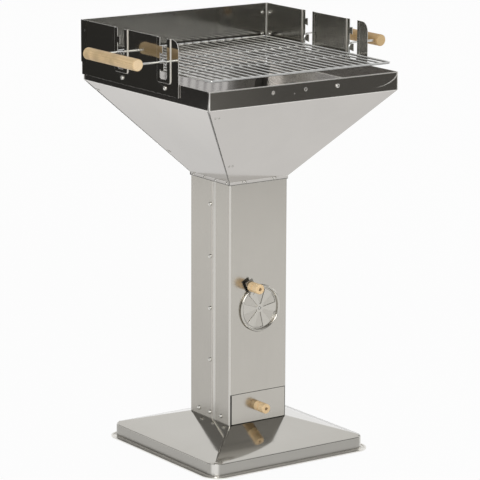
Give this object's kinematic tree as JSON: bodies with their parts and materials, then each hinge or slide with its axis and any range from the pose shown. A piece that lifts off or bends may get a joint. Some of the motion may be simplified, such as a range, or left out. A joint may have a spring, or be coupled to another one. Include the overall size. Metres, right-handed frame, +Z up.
{
  "type": "funnel grill",
  "caption": "Free-standing sheet steel charcoal grill: square funnel on a square column and tray base, lift-out wire grate with wooden handles, air vent disc and ash drawer.",
  "frame": {"origin": "on the floor, under the middle of the base", "axes": "+X to the right seen from the front, -Y to the front with the drawer, +Z up"},
  "size_m": [0.665, 0.5005, 0.943],
  "materials": {
    "base_steel": "bright pressed sheet",
    "column_steel": "satin, drawn upright",
    "funnel_steel": "satin outside, polished inside",
    "windscreen_steel": "mirror polished sheet",
    "inner_steel": "plain mill sheet",
    "grate_chrome": "bright plated wire",
    "coal_iron": "dull dark iron",
    "vent_steel": "satin pressed sheet",
    "handle_wood": "plain sanded beech",
    "knob_wood": "turned and sanded beech",
    "fastener_zinc": "bright zinc"
  },
  "bodies": {
    "frame": {"base_tray": "base_steel", "column_front": "column_steel", "column_rear": "column_steel", "funnel_front": "funnel_steel", "funnel_rear": "funnel_steel", "funnel_left": "funnel_steel", "funnel_right": "funnel_steel", "windscreen_left": "windscreen_steel", "windscreen_right": "windscreen_steel", "windscreen_rear": "windscreen_steel", "corner_post_left": "windscreen_steel", "corner_post_right": "windscreen_steel", "corner_strip_front_left": "inner_steel", "corner_strip_front_right": "inner_steel", "corner_strip_rear_left": "inner_steel", "corner_strip_rear_right": "inner_steel", "foot_angle_left": "inner_steel", "foot_angle_right": "inner_steel", "foot_angle_rear": "inner_steel", "drawer_guide_left": "inner_steel", "drawer_guide_right": "inner_steel", "seam_screws": "fastener_zinc", "foot_screws": "fastener_zinc", "foot_bolts": "fastener_zinc", "throat_rivets": "fastener_zinc", "corner_rivets": "fastener_zinc", "windscreen_bolts": "fastener_zinc", "windscreen_spacers": "fastener_zinc", "windscreen_nuts": "fastener_zinc", "corner_bolts": "fastener_zinc", "rim_bolt": "fastener_zinc", "rim_nut": "fastener_zinc", "vent_pivot": "fastener_zinc"},
    "grate": {"cooking_grate": "grate_chrome", "grate_hook_front": "grate_chrome", "grate_hook_rear": "grate_chrome", "handle_dowel_left": "handle_wood", "handle_dowel_right": "handle_wood"},
    "coal": {"charcoal_grate": "coal_iron"},
    "vent": {"vent_disc": "vent_steel", "vent_lug": "vent_steel", "vent_lug_rivet": "fastener_zinc", "vent_knob": "knob_wood", "vent_knob_screw": "fastener_zinc"},
    "drawer": {"drawer_tray": "inner_steel", "drawer_front": "column_steel", "drawer_knob": "knob_wood", "drawer_knob_screw": "fastener_zinc"}
  },
  "joints": [
    {"name": "grate_lift", "type": "slide", "parent": "frame", "child": "grate", "axis": [0, 0, 1], "range_m": [0, 0.08]},
    {"name": "coal_lift", "type": "slide", "parent": "frame", "child": "coal", "axis": [0, 0, 1], "range_m": [0, 0.1]},
    {"name": "vent_turn", "type": "hinge", "parent": "frame", "child": "vent", "pos_m": [0.003, -0.0776, 0.324], "axis": [0, 1, 0], "range_deg": [0, 30]},
    {"name": "drawer_slide", "type": "slide", "parent": "frame", "child": "drawer", "axis": [0, -1, 0], "range_m": [0, 0.1]}
  ]
}
